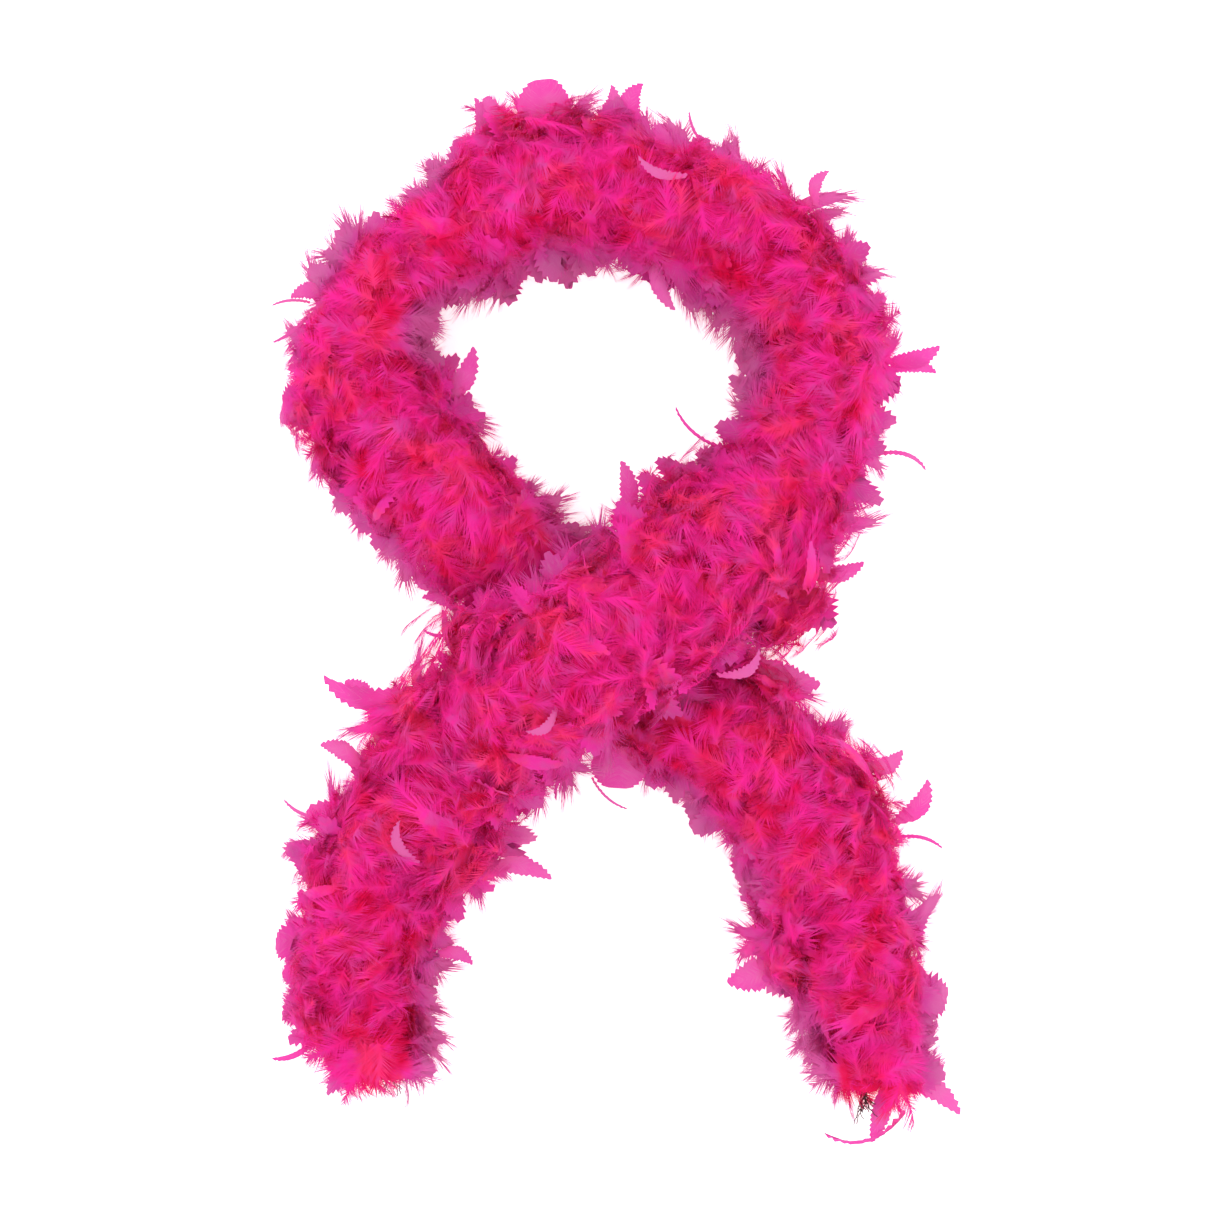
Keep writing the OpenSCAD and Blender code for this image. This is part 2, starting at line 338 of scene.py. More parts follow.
def feather_material(name, colours, vane):
    """Dyed feather: crimson painted shade at the root and near the core, mauve and pale towards the
    rim, partly thin tips and partly painted light and sheen, streaked along its barbs.
    """
    made, tree, skin = new_material(name)
    tip, tone, rim = attribute(tree, "tip"), attribute(tree, "tone"), attribute(tree, "rim")
    depth, across = attribute(tree, "depth"), attribute(tree, "across")
    spot = link_nodes(tree, "ShaderNodeTexCoord").outputs["Object"]
    patch = noise(tree, spot, PATCHES, 3.0, 0.6)
    other = noise(tree, spot, MAUVE_AND_LIGHT_VEILS, 2.0, 0.6)
    shade_dip = noise(tree, spot, SHADE_DIPS, 2.0, 0.55)
    # Warm and cool patches of dye
    uneven = about_half(tree, tone, 0.10, patch)
    base = mixed(tree, ramp(tree, uneven, 0.46, 0.64, 0.0, 0.9),
                 tuple(colours.pink), tuple(colours.coral))
    # Mauve veils on the outer layers and tips: partly the thin tips' own colour, partly painted light
    # where the light falls
    mauve_and_light_veil = about_half(tree, tone, 0.14, other)
    mauve_and_light_veil = value(tree, "MULTIPLY", ramp(tree, mauve_and_light_veil, 0.46, 0.66),
                 ramp(tree, tip, 0.1, 1.0, 0.35, 0.9))
    mauve_and_light_veil = value(tree, "MULTIPLY", mauve_and_light_veil, ramp(tree, depth, 0.6, 0.95, 0.2, 1.0))
    base = mixed(tree, mauve_and_light_veil, base, tuple(colours.mauve))
    # Painted shade: crimson near the core, at the roots and in dips, where the strand lies in shade
    outward = value(tree, "MULTIPLY_ADD", depth, 0.85, value(tree, "MULTIPLY", tip, 0.16))
    outward = about_half(tree, shade_dip, 1.3, outward)
    base = mixed(tree, ramp(tree, outward, 0.40, 0.90), tuple(colours.painted_shade_hollow), base)
    # Thin tips along the strand's two sides: mauve, partly their own colour and partly painted light,
    # and pale painted sheen past the rim
    thin = about_half(tree, tone, 0.15, about_half(tree, patch, 0.5, rim))
    edge = value(tree, "MULTIPLY", ramp(tree, thin, 0.70, 1.0),
                 ramp(tree, tip, 0.0, 0.6, 0.5, 1.0))
    base = mixed(tree, edge, base, tuple(colours.mauve))
    past = ramp(tree, thin, 0.95, 1.2, 0.0, 0.45)
    base = mixed(tree, past, base, tuple(colours.painted_sheen_pale))
    if vane:
        barb = value(tree, "MULTIPLY_ADD", across, -0.30, tip)
        lines = link_nodes(tree, "ShaderNodeCombineXYZ", {
            0: value(tree, "MULTIPLY", barb, 34.0), 1: value(tree, "MULTIPLY", across, 1.6),
            2: value(tree, "MULTIPLY", tone, 37.0)}).outputs[0]
        streak = noise(tree, lines, 1.0, 3.0, 0.7)
        # Painted sheen: pale streaks along the barbs, stronger at the rim
        shine = value(tree, "MULTIPLY", ramp(tree, streak, 0.50, 0.74), value(
            tree, "MULTIPLY_ADD", edge, 0.50, 0.12))
        base = mixed(tree, shine, base, tuple(colours.painted_sheen_pale))
        line = ramp(tree, across, 0.86, 1.0, 0.0, 0.5)
        base = mixed(tree, line, base, tuple(colours.pink))
        bump = link_nodes(tree, "ShaderNodeBump", {
            "Height": streak, "Strength": 0.5, "Distance": 0.0005})
        tree.links.new(bump.outputs["Normal"], skin.inputs["Normal"])
    tree.links.new(base, skin.inputs["Base Color"])
    skin.inputs["Roughness"].default_value = 0.55 if vane else 0.8
    skin.inputs["Sheen Weight"].default_value = 0.08
    skin.inputs["Sheen Roughness"].default_value = 0.5
    skin.inputs["Sheen Tint"].default_value = (1.0, 0.5, 0.75, 1.0)
    skin.inputs["Specular IOR Level"].default_value = 0.12
    # Light from behind shows through the barbs
    through = link_nodes(tree, "ShaderNodeBsdfTranslucent", {"Color": base})
    both = link_nodes(tree, "ShaderNodeMixShader", {
        0: THROUGH_VANE if vane else THROUGH_DOWN, 1: skin.outputs[0], 2: through.outputs[0]})
    tree.links.new(both.outputs[0], tree.nodes["Material Output"].inputs["Surface"])
    return made


def fibre_material(name, colour, scale):
    """Twisted fibre: lighter and darker along its lay."""
    made, tree, skin = new_material(name)
    spot = link_nodes(tree, "ShaderNodeTexCoord").outputs["Object"]
    lay = noise(tree, spot, scale, 3.0, 0.65)
    dark = tuple(0.45 * c for c in colour[:3]) + (1,)
    light = tuple(min(1, 1.5 * c + 0.02) for c in colour[:3]) + (1,)
    tree.links.new(mixed(tree, ramp(tree, lay, 0.3, 0.7), dark, light), skin.inputs["Base Color"])
    bump = link_nodes(tree, "ShaderNodeBump", {"Height": lay, "Strength": 0.5, "Distance": 0.0003})
    tree.links.new(bump.outputs["Normal"], skin.inputs["Normal"])
    skin.inputs["Roughness"].default_value = 0.8
    skin.inputs["Sheen Weight"].default_value = 0.2
    return made


def dye(obj, patterned, plain):
    """Gives a piece its patterned dye, over a plain one of the same colour."""
    obj.data.materials.clear()
    obj.data.materials.append(plain)
    obj.material_slots[0].link = "OBJECT"
    obj.material_slots[0].material = patterned


def plain_material(name, colour):
    """One colour, for a feather that goes without its pattern."""
    made, _, skin = new_material(name)
    skin.inputs["Base Color"].default_value = colour
    skin.inputs["Roughness"].default_value = 0.7
    return made


# ---------------------------------------------------------------- single feathers


def give(mesh, name, numbers):
    """Gives each point of a mesh a number under a name."""
    mesh.attributes.new(name, "FLOAT", "POINT").data.foreach_set("value", numbers)


def in_scene(name, data):
    made = bpy.data.objects.new(name, data)
    bpy.context.scene.collection.objects.link(made)
    return made


class Shape:
    """A mesh being put together, with each point's place on its feather."""

    def __init__(self):
        self.points, self.faces, self.tip, self.across = [], [], [], []

    def point(self, co, tip, across=0.0):
        self.points.append(tuple(float(c) for c in co))
        self.tip.append(float(tip))
        self.across.append(float(across))
        return len(self.points) - 1

    def strip(self, line, wide, widths, tips, across=0.0):
        """A flat strip along a line, which ends in a point when its last width is 0."""
        rows = []
        for p, w, t in zip(line, widths, tips):
            if w == 0:
                rows.append([self.point(p, t, across)])
            else:
                rows.append([self.point(p - wide * w / 2, t, across),
                             self.point(p + wide * w / 2, t, across)])
        for a, b in zip(rows, rows[1:]):
            self.faces.append((a[0], a[1], *reversed(b)) if len(a) == 2 else (*a, *b))

    def barb(self, foot, end, wide, tips, across=(0.0, 0.0)):
        """A thin three-cornered barb, as wide as twice a step at its foot."""
        self.faces.append((self.point(foot - wide, tips[0], across[0]),
                           self.point(foot + wide, tips[0], across[0]),
                           self.point(end, tips[1], across[1])))

    def made(self, name):
        mesh = bpy.data.meshes.new(name)
        mesh.from_pydata(self.points, [], self.faces)
        for kind, numbers in (("tip", self.tip), ("across", self.across)):
            give(mesh, kind, numbers)
        mesh.polygons.foreach_set("use_smooth", [True] * len(mesh.polygons))
        mesh.update()
        return bpy.data.objects.new(name, mesh)


def bent(x, y, length, curve, cup):
    """A point of a flat feather, curved along its length and cupped across it."""
    z = -y * y / (2 * curve) - cup * x * x / (length * 0.5)
    return np.array((x, y, z))


def webbed_flat(name, rng, length, width, pointed, teeth, curve, cup):
    """A webbed vane with a toothed rim, as a centre line, a middle row and a rim on each side."""
    shape = Shape()
    rows = 8
    ts = np.linspace(0, 1, rows + 1)

    def half(t):
        early, narrow = (0.72, 0.9) if pointed else (0.62, 0.6)
        return width / 2 * max(0.06, math.sin(math.pi * min(1.0, t) ** early) ** narrow)

    centre = [shape.point(bent(0, t * length, length, curve, cup), t) for t in ts]
    for s in (-1, 1):
        middle, rim = [], []
        for t in ts:
            w = half(t) * 0.55
            y = t * length + 0.22 * w
            middle.append(shape.point(bent(s * w, y, length, curve, cup), t, 0.5))
        for k, t in enumerate(ts):
            w = half(t) * (1 - teeth * (0.6 + 0.5 * rng.random()) * (0 < k < rows))
            rim.append(shape.point(bent(s * w, t * length + 0.35 * half(t), length, curve, cup), t, 1))
        for k in range(rows):
            t = (ts[k] + ts[k + 1]) / 2
            w = half(t) * (1 + 0.10 * rng.random())
            y = (t + 0.25 / rows) * length + 0.5 * half(t) * (0.9 + 0.3 * rng.random())
            tooth = shape.point(bent(s * w, y, length, curve, cup), t, 1)
            inner = (centre[k], centre[k + 1], middle[k + 1], middle[k])
            outer = (middle[k], middle[k + 1], rim[k + 1], tooth, rim[k])
            shape.faces += [inner, outer] if s < 0 else [inner[::-1], outer[::-1]]
    return shape.made(name)


def plume(name, rng, length, barb, pairs, curve, thin, lift):
    """A soft plume: a curved rachis with fine barbs on both sides, longest near the middle."""
    shape = Shape()
    ts = np.linspace(0, 1, 4)
    shape.strip([bent(0, t * length, length, curve, 0) for t in ts], np.array((1.0, 0, 0)),
                [0.9 * MM, 0.7 * MM, 0.5 * MM, 0], ts)
    for k in range(pairs):
        t = 0.10 + 0.88 * k / (pairs - 1)
        for s in (-1, 1):
            swell = 0.45 + 0.65 * math.sin(math.pi * min(1, t * 0.8 + 0.15))
            long = barb * swell * rng.uniform(0.8, 1.2)
            angle = math.radians(66 - 46 * t + rng.uniform(-9, 9)) * s
            turn = np.array((math.sin(angle), math.cos(angle), 0))
            w = thin * rng.uniform(0.7, 1.3)
            foot = np.array((0, t * length, 0))
            end = bent(*(foot + turn * long)[:2], length, curve, 0.25)
            end[2] += rng.uniform(-lift, lift) * long
            wide = np.array((turn[1], -turn[0], 0)) * w / 2
            root = bent(0, t * length, length, curve, 0)
            shape.barb(root, end, wide, (t, 0.55 + 0.45 * t), (0.1, 1))
    return shape.made(name)


def soft_flat(name, rng, length, width, curve, cup, barbs, thin):
    """A downy vane: a small smooth web whose edge breaks up into fine barbs."""
    shape = Shape()
    rows = 5
    ts = np.linspace(0, 1, rows + 1)

    def half(t):
        swell = math.sin(math.pi * min(1.0, 0.04 + t * 0.93) ** 0.75) ** 0.7
        return 0.60 * width / 2 * max(0.08, swell)

    centre = [shape.point(bent(0, t * length, length, curve, cup), t) for t in ts]
    for s in (-1, 1):
        rim = [shape.point(bent(s * half(t), t * length + 0.25 * half(t), length, curve, cup), t, 0.8)
               for t in ts]
        for k in range(rows):
            quad = (centre[k], centre[k + 1], rim[k + 1], rim[k])
            shape.faces.append(quad if s < 0 else quad[::-1])
    for k in range(barbs):
        t = 0.12 + 0.88 * math.sqrt((k + rng.random()) / barbs)
        s = 1 if k % 2 else -1
        x = s * half(t) * rng.uniform(0.3, 0.98)
        y = t * length + 0.25 * half(t)
        angle = s * math.radians(58 - 44 * t + rng.uniform(-10, 10))
        turn = np.array((math.sin(angle), math.cos(angle)))
        long = rng.uniform(0.18, 0.46) * length
        root = bent(x, y, length, curve, cup)
        end = bent(x + turn[0] * long, y + turn[1] * long, length, curve, cup)
        end[2] += rng.uniform(-0.2, 0.25) * long
        wide = np.array((turn[1], -turn[0], 0)) * thin * rng.uniform(0.7, 1.3) / 2
        shape.barb(root, end, wide, (t, min(1, t + 0.15)), (0.9, 0.9))
    return shape.made(name)


def down_tuft(name, rng, length, barbs, spread, thin):
    """A burst of fine barbs from one root."""
    shape = Shape()
    for k in range(barbs):
        tilt = math.radians(spread) * math.sqrt(rng.random())
        turn = rng.uniform(0, 2 * math.pi)
        way = np.array((math.sin(tilt) * math.cos(turn), math.cos(tilt),
                        math.sin(tilt) * math.sin(turn)))
        foot = way * length * rng.uniform(0, 0.25)
        end = way * length * rng.uniform(0.75, 1.15)
        wide = unit(np.cross(way, rng.normal(0, 1, 3))) * thin * rng.uniform(0.7, 1.3) / 2
        shape.barb(foot, end, wide, (0.2, 1))
    return shape.made(name)


def ribbon(name, rng, length, width, curl, fork):
    """A narrow curved tip that stands out on its own."""
    shape = Shape()
    ts = np.linspace(0, 1, 9)
    line, widths = [], []
    heading, p = 0.0, np.zeros(3)
    for t in ts:
        line.append(p.copy())
        widths.append(width * (1 - t) ** 0.6 * (0.45 + 0.9 * math.sin(math.pi * min(1, t + 0.25))))
        heading += curl / 8 * (0.4 + 1.2 * t)
        p = p + np.array((math.sin(heading), math.cos(heading), -0.15 * t)) * length / 8
    widths[-1] = 0
    shape.strip(line, np.array((1.0, 0, 0)), widths, ts, 0.7)
    if fork:
        shape.strip([line[5], line[5] + (3 * MM, 5 * MM, 0), line[5] + (8 * MM, 9 * MM, 0)],
                    np.array((0.8, -0.6, 0)), [width * 0.5, width * 0.35, 0], [0.6, 0.8, 1], 0.7)
    return shape.made(name)


def collected(name, objects):
    made = bpy.data.collections.new(name)
    for o in objects:
        made.objects.link(o)
    return made


# ---------------------------------------------------------------- laying feathers on the core


# How much the strand's thickness varies from clump to clump, how many turns the lie of the
# feathers makes between its extremes, and how far one feather lies from its neighbours, radians
CLUMPING = 0.16
SWIRL_TURNS = 3.0
ALIGNED = 0.6
# How close together clumps, changes of lie and ruffles come, for each metre
LUMPS = 30.0
SWIRLS = 15.0
RUFFLES = 34.0
# Where the colour turns from the core's painted shade to the surface's, and how high feathers stay off
# the floor
DEEP_TO_OUTER = 0.056
FLOOR_GAP = 0.0005
# How far the light on a feather follows the strand rather than the feather itself
SOFTNESS = 1.4
# How far feather tips pass the room given to the feathers, and where the strand's sides are
# drawn in: from this far off the middle, within this much more
TIP_REACH = 0.012
WIDEST = 0.235
SQUEEZE = 0.0185
# How far ruffles move a feather
RUFFLE_DEPTH = 10 * MM
LAYER_INPUTS = [("Feathers", "Collection"), ("Count", "Int"), ("Seed", "Int")] + [
    (key, "Float") for key in ("Lowest", "Highest", "Depth min", "Depth max", "Tilt min",
                               "Tilt max", "Size min", "Size max", "Face up", "Gaps")]


def new_tree(name, inputs, output):
    """A Geometry Nodes tree with named inputs, and the sockets that give them."""
    tree = bpy.data.node_groups.new(name, "GeometryNodeTree")
    for key, kind in inputs:
        tree.interface.new_socket(key, in_out="INPUT", socket_type="NodeSocket" + kind)
    tree.interface.new_socket(output, in_out="OUTPUT", socket_type="NodeSocketGeometry")
    return tree, tree.nodes.new("NodeGroupInput").outputs


def end_tree(tree, geometry):
    tree.links.new(geometry, tree.nodes.new("NodeGroupOutput").inputs[0])


def layer_tree():
    """Sets feathers around a core line: how many, how deep, how steep and how large are inputs."""
    tree, g = new_tree("Feather layer", [("Line", "Geometry")] + LAYER_INPUTS, "Feathers")
    num, vec = partial(value, tree), partial(vector, tree)

    def drawn(low, high, step):
        made = link_nodes(tree, "FunctionNodeRandomValue", {
            2: low, 3: high, "Seed": num("ADD", g["Seed"], step)}, data_type="FLOAT")
        return made.outputs[1]

    curve = link_nodes(tree, "GeometryNodeMeshToCurve", {"Mesh": g["Line"]})
    points = link_nodes(tree, "GeometryNodeCurveToPoints", {
        "Curve": curve.outputs[0], "Count": g["Count"]}, mode="COUNT")
    u = points.outputs["Tangent"]
    across = vec("NORMALIZE", vec("CROSS_PRODUCT", (0, 0, 1), u))
    up = vec("CROSS_PRODUCT", u, across)
    rise = drawn(g["Lowest"], g["Highest"], 1)
    hand = num("SIGN", drawn(-1.0, 1.0, 8))
    c, s = num("MULTIPLY", num("COSINE", rise), hand), num("SINE", rise)
    out = vec("ADD", vec("SCALE", across, scale=c), vec("SCALE", up, scale=s))

    def kept(name):
        return link_nodes(tree, "GeometryNodeInputNamedAttribute", {"Name": name},
                          data_type="FLOAT").outputs[0]

    above = num("GREATER_THAN", s, 0.0)
    room = num("ADD", num("MULTIPLY", kept("room_up"), above),
                 num("MULTIPLY", kept("room_down"), num("SUBTRACT", 1.0, above)))
    leftward = num("GREATER_THAN", c, 0.0)
    wing = num("ADD", num("MULTIPLY", kept("room_left"), leftward),
                 num("MULTIPLY", kept("room_right"), num("SUBTRACT", 1.0, leftward)))
    wide = num("POWER", num("DIVIDE", c, wing), 2.0)
    high = num("POWER", num("DIVIDE", s, room), 2.0)
    reach = num("INVERSE_SQRT", num("ADD", wide, high))
    spot = vec("ADD", link_nodes(tree, "GeometryNodeInputPosition").outputs[0],
               vec("SCALE", out, scale=reach))
    lump = noise(tree, spot, LUMPS, 1.0)
    clump = ramp(tree, lump, 0.3, 0.7, 1 - CLUMPING, 1 + CLUMPING)
    shown = num("GREATER_THAN", value(
        tree, "MULTIPLY_ADD", drawn(0.0, 1.0, 9), 0.16, lump), g["Gaps"])
    r = num("MULTIPLY", num("MULTIPLY", reach, clump),
              drawn(g["Depth min"], g["Depth max"], 2))
    swirl = link_nodes(tree, "ShaderNodeTexNoise", {
        "Vector": spot, "Scale": SWIRLS, "Detail": 0.0}, noise_dimensions="4D").outputs["Fac"]
    phi = num("ADD", num("MULTIPLY", swirl, SWIRL_TURNS * 2 * math.pi),
                drawn(-ALIGNED, ALIGNED, 3))
    around = vec("CROSS_PRODUCT", u, out)
    lying = vec("ADD", vec("SCALE", u, scale=num("COSINE", phi)),
                vec("SCALE", around, scale=num("SINE", phi)))
    top = num("MAXIMUM", s, 0.0)
    tilt = num("MULTIPLY", drawn(g["Tilt min"], g["Tilt max"], 4),
                 num("SUBTRACT", 1.0, num("MULTIPLY", top, 0.45)))
    ct, st = num("COSINE", tilt), num("SINE", tilt)
    ahead = vec("ADD", vec("SCALE", lying, scale=ct), vec("SCALE", out, scale=st))
    level = link_nodes(tree, "ShaderNodeCombineXYZ", {
        0: 1.0, 1: 1.0, 2: num("MULTIPLY_ADD", g["Face up"], -0.5, 1.0)}).outputs[0]
    ahead = vec("MULTIPLY", ahead, level)
    normal = vec("SUBTRACT", vec("SCALE", out, scale=ct), vec("SCALE", lying, scale=st))
    normal = vec("ADD", normal, vec("SCALE", (0, 0, 1), scale=g["Face up"]))
    turned = link_nodes(tree, "FunctionNodeAxesToRotation", {0: ahead, 1: normal},
                        primary_axis="Y", secondary_axis="Z")
    size = drawn(g["Size min"], g["Size max"], 5)
    moved = link_nodes(tree, "GeometryNodeSetPosition", {
        "Geometry": points.outputs["Points"], "Offset": vec("SCALE", out, scale=r)})
    parts = link_nodes(tree, "GeometryNodeCollectionInfo", {
        "Collection": g["Feathers"], "Separate Children": True, "Reset Children": True})
    pick = link_nodes(tree, "FunctionNodeRandomValue", {
        4: 0, 5: 1000, "Seed": num("ADD", g["Seed"], 6)}, data_type="INT")
    laid = link_nodes(tree, "GeometryNodeInstanceOnPoints", {
        "Points": moved.outputs[0], "Instance": parts.outputs[0], "Pick Instance": True,
        "Instance Index": pick.outputs[2], "Selection": shown,
        "Rotation": turned.outputs[0], "Scale": size})
    toned = link_nodes(tree, "GeometryNodeStoreNamedAttribute", {
        "Geometry": laid.outputs[0], "Name": "tone", "Value": drawn(0.0, 1.0, 7)},
        data_type="FLOAT", domain="INSTANCE")
    end_tree(tree, toned.outputs[0])
    return tree


def strand_tree(name, material, layers):
    """Joins layers of feathers, ruffles them, and presses them on the surface."""
    layer = bpy.data.node_groups.get("Feather layer") or layer_tree()
    tree, g = new_tree(name, [("Line", "Geometry")] + [
        (f"{key} {n + 1}", kind) for n in range(layers) for key, kind in LAYER_INPUTS], "Feathers")
    num, vec = partial(value, tree), partial(vector, tree)
    joined = tree.nodes.new("GeometryNodeJoinGeometry")
    for n in range(layers):
        part = tree.nodes.new("GeometryNodeGroup")
        part.node_tree = layer
        tree.links.new(g["Line"], part.inputs["Line"])
        for key, _ in LAYER_INPUTS:
            tree.links.new(g[f"{key} {n + 1}"], part.inputs[key])
        tree.links.new(part.outputs[0], joined.inputs[0])
    real = link_nodes(tree, "GeometryNodeRealizeInstances", {0: joined.outputs[0]})
    spot = link_nodes(tree, "GeometryNodeInputPosition").outputs[0]
    shift = vec("ADD", noise(tree, spot, RUFFLES, 1.0, output="Color"), (-0.5, -0.5, -0.5))
    shift = vec("SCALE", shift, scale=RUFFLE_DEPTH)
    ruffled = link_nodes(tree, "GeometryNodeSetPosition", {
        "Geometry": real.outputs[0], "Offset": shift})
    xyz = link_nodes(tree, "ShaderNodeSeparateXYZ", {0: spot}).outputs
    low = num("MAXIMUM", xyz[2], FLOOR_GAP)
    over = num("SUBTRACT", num("ABSOLUTE", xyz[0]), WIDEST)
    over = num("MAXIMUM", over, 0.0)
    less = num("ADD", 1.0, num("DIVIDE", over, SQUEEZE))
    less = num("SUBTRACT", over, num("DIVIDE", over, less))
    less = num("MULTIPLY", num("SIGN", xyz[0]), less)
    kept_in = num("SUBTRACT", xyz[0], less)
    pressed = link_nodes(tree, "ShaderNodeCombineXYZ", {0: kept_in, 1: xyz[1], 2: low}).outputs[0]
    floored = link_nodes(tree, "GeometryNodeSetPosition", {
        "Geometry": ruffled.outputs[0], "Position": pressed})
    flat = link_nodes(tree, "ShaderNodeCombineXYZ", {0: xyz[0], 1: xyz[1], 2: 0.0}).outputs[0]
    plan = link_nodes(tree, "GeometryNodeSetPosition", {"Geometry": g["Line"], "Position": flat})
    aside = link_nodes(tree, "GeometryNodeProximity", {
        "Geometry": plan.outputs[0], "Sample Position": flat}, target_element="EDGES")
    away = link_nodes(tree, "GeometryNodeProximity", {
        "Geometry": g["Line"], "Sample Position": spot}, target_element="EDGES")
    nearest = link_nodes(tree, "GeometryNodeSampleNearest", {
        "Geometry": plan.outputs[0], "Sample Position": flat}, domain="POINT").outputs[0]

    def beside(name, data_type):
        kept = link_nodes(tree, "GeometryNodeInputNamedAttribute", {"Name": name},
                          data_type=data_type)
        taken = link_nodes(tree, "GeometryNodeSampleIndex", {
            "Geometry": plan.outputs[0], "Index": nearest}, data_type=data_type, domain="POINT")
        tree.links.new(kept.outputs[0], taken.inputs["Value"])
        return taken.outputs[0]

    off = vec("SUBTRACT", flat, aside.outputs["Position"])
    which = num("GREATER_THAN", vector(
        tree, "DOT_PRODUCT", off, beside("leftward", "FLOAT_VECTOR")), 0.0)
    wide = num("ADD", num("MULTIPLY", beside("room_left", "FLOAT"), which), value(
        tree, "MULTIPLY", beside("room_right", "FLOAT"), num("SUBTRACT", 1.0, which)))
    wide = num("ADD", wide, TIP_REACH)
    stored = floored.outputs[0]
    # rim and depth drive the painted light of the rims and the painted shade near the core in the
    # feather material
    for key, distance, span in (("rim", aside, wide), ("depth", away, DEEP_TO_OUTER)):
        share = num("DIVIDE", distance.outputs["Distance"], span)
        stored = link_nodes(tree, "GeometryNodeStoreNamedAttribute", {
            "Geometry": stored, "Name": key, "Value": share},
            data_type="FLOAT", domain="POINT").outputs[0]
    outward = vec("NORMALIZE", vec("SUBTRACT", spot, away.outputs["Position"]))
    face = link_nodes(tree, "GeometryNodeInputNormal").outputs[0]
    facing = vec("DOT_PRODUCT", outward, face)
    turned = link_nodes(tree, "GeometryNodeFlipFaces", {
        0: stored, 1: num("LESS_THAN", facing, 0.0)})
    soft = vec("ADD", vec("SCALE", outward, scale=SOFTNESS), face)
    soft = vec("NORMALIZE", soft)
    smooth = link_nodes(tree, "GeometryNodeSetMeshNormal", {
        "Mesh": turned.outputs[0], "Custom Normal": soft}, mode="FREE", domain="POINT")
    dressed = link_nodes(tree, "GeometryNodeSetMaterial", {
        "Geometry": smooth.outputs[0], "Material": material})
    end_tree(tree, dressed.outputs[0])
    return tree


def line_object(section, sizes, spare=0.0):
    """The core line of a section, with the room above and below it."""
    name, first, last = section[:3]
    a, b = knot_run(first) - spare, knot_run(last) + spare
    d = np.linspace(max(a, 0), min(b, LENGTH), 24)
    p = at(d)
    up = sizes.top_reach - np.maximum(0, CORE_HEIGHT - p[:, 2]) * 4 / 3
    down = p[:, 2] - np.maximum(0, (p[:, 2] - CORE_HEIGHT) * 1.2)
    mesh = bpy.data.meshes.new(name + "_line")
    mesh.from_pydata(p.tolist(), [(k, k + 1) for k in range(len(p) - 1)], [])
    full = sizes.side_reach * np.stack([
        np.interp(d, [knot_run(k) for k in FULLNESS[:, 0]], FULLNESS[:, j]) for j in (1, 2)])
    for kind, numbers in (("room_up", up), ("room_down", down), ("room_left", full[0]),
                          ("room_right", full[1])):
        give(mesh, kind, numbers.tolist())
    mesh.attributes.new("leftward", "FLOAT_VECTOR", "POINT").data.foreach_set(
        "vector", side(d).ravel().tolist())
    return in_scene(name + "_line", mesh), min(b, LENGTH) - max(a, 0)


def grown(name, line, tree, settings):
    """Runs the tree on a line and keeps its result as a plain mesh piece."""
    mod = line.modifiers.new("Plumage", "NODES")
    mod.node_group = tree
    ids = {i.name: i.identifier for i in tree.interface.items_tree
           if i.item_type == "SOCKET" and i.in_out == "INPUT"}
    for key, val in settings.items():
        mod[ids[key]] = val
    bpy.context.view_layer.update()
    mesh = bpy.data.meshes.new_from_object(line.evaluated_get(bpy.context.evaluated_depsgraph_get()))
    mesh.name = name
    line.modifiers.remove(mod)
    return in_scene(name, mesh)


def dropped(obj):
    data = obj.data
    bpy.data.objects.remove(obj)
    bpy.data.meshes.remove(data)


def layer_settings(n, feathers, count, seed, rise, depth, tilt, size, face_up=0.0, gaps=0.0):
    """Values for one layer: rise and tilt are ranges in degrees, depth and size are shares."""
    values = (feathers, int(count), int(seed), *map(math.radians, rise), *depth,
              *map(math.radians, tilt), *size, face_up, gaps)
    return {f"{key} {n}": v for (key, _), v in zip(LAYER_INPUTS, values)}


def fill_strand(part, tree, dyes, seed, layers):
    """Grows one kind of plumage on every section, from rows of feathers, number for each metre,
    and ranges."""
    for k, section in enumerate(SECTIONS):
        line, long = line_object(section, bpy.context.scene.boa_sizes)
        settings = {}
        for n, (feathers, per_metre, *ranges) in enumerate(layers):
            settings.update(layer_settings(n + 1, feathers, max(2, long * per_metre),
                                           seed + 100 * k + 20 * n, *ranges))
        made = grown(f"{section[0]}_{part}", line, tree, settings)
        dropped(line)
        dye(made, *dyes)
        place(made, section, part)


# ---------------------------------------------------------------- operators


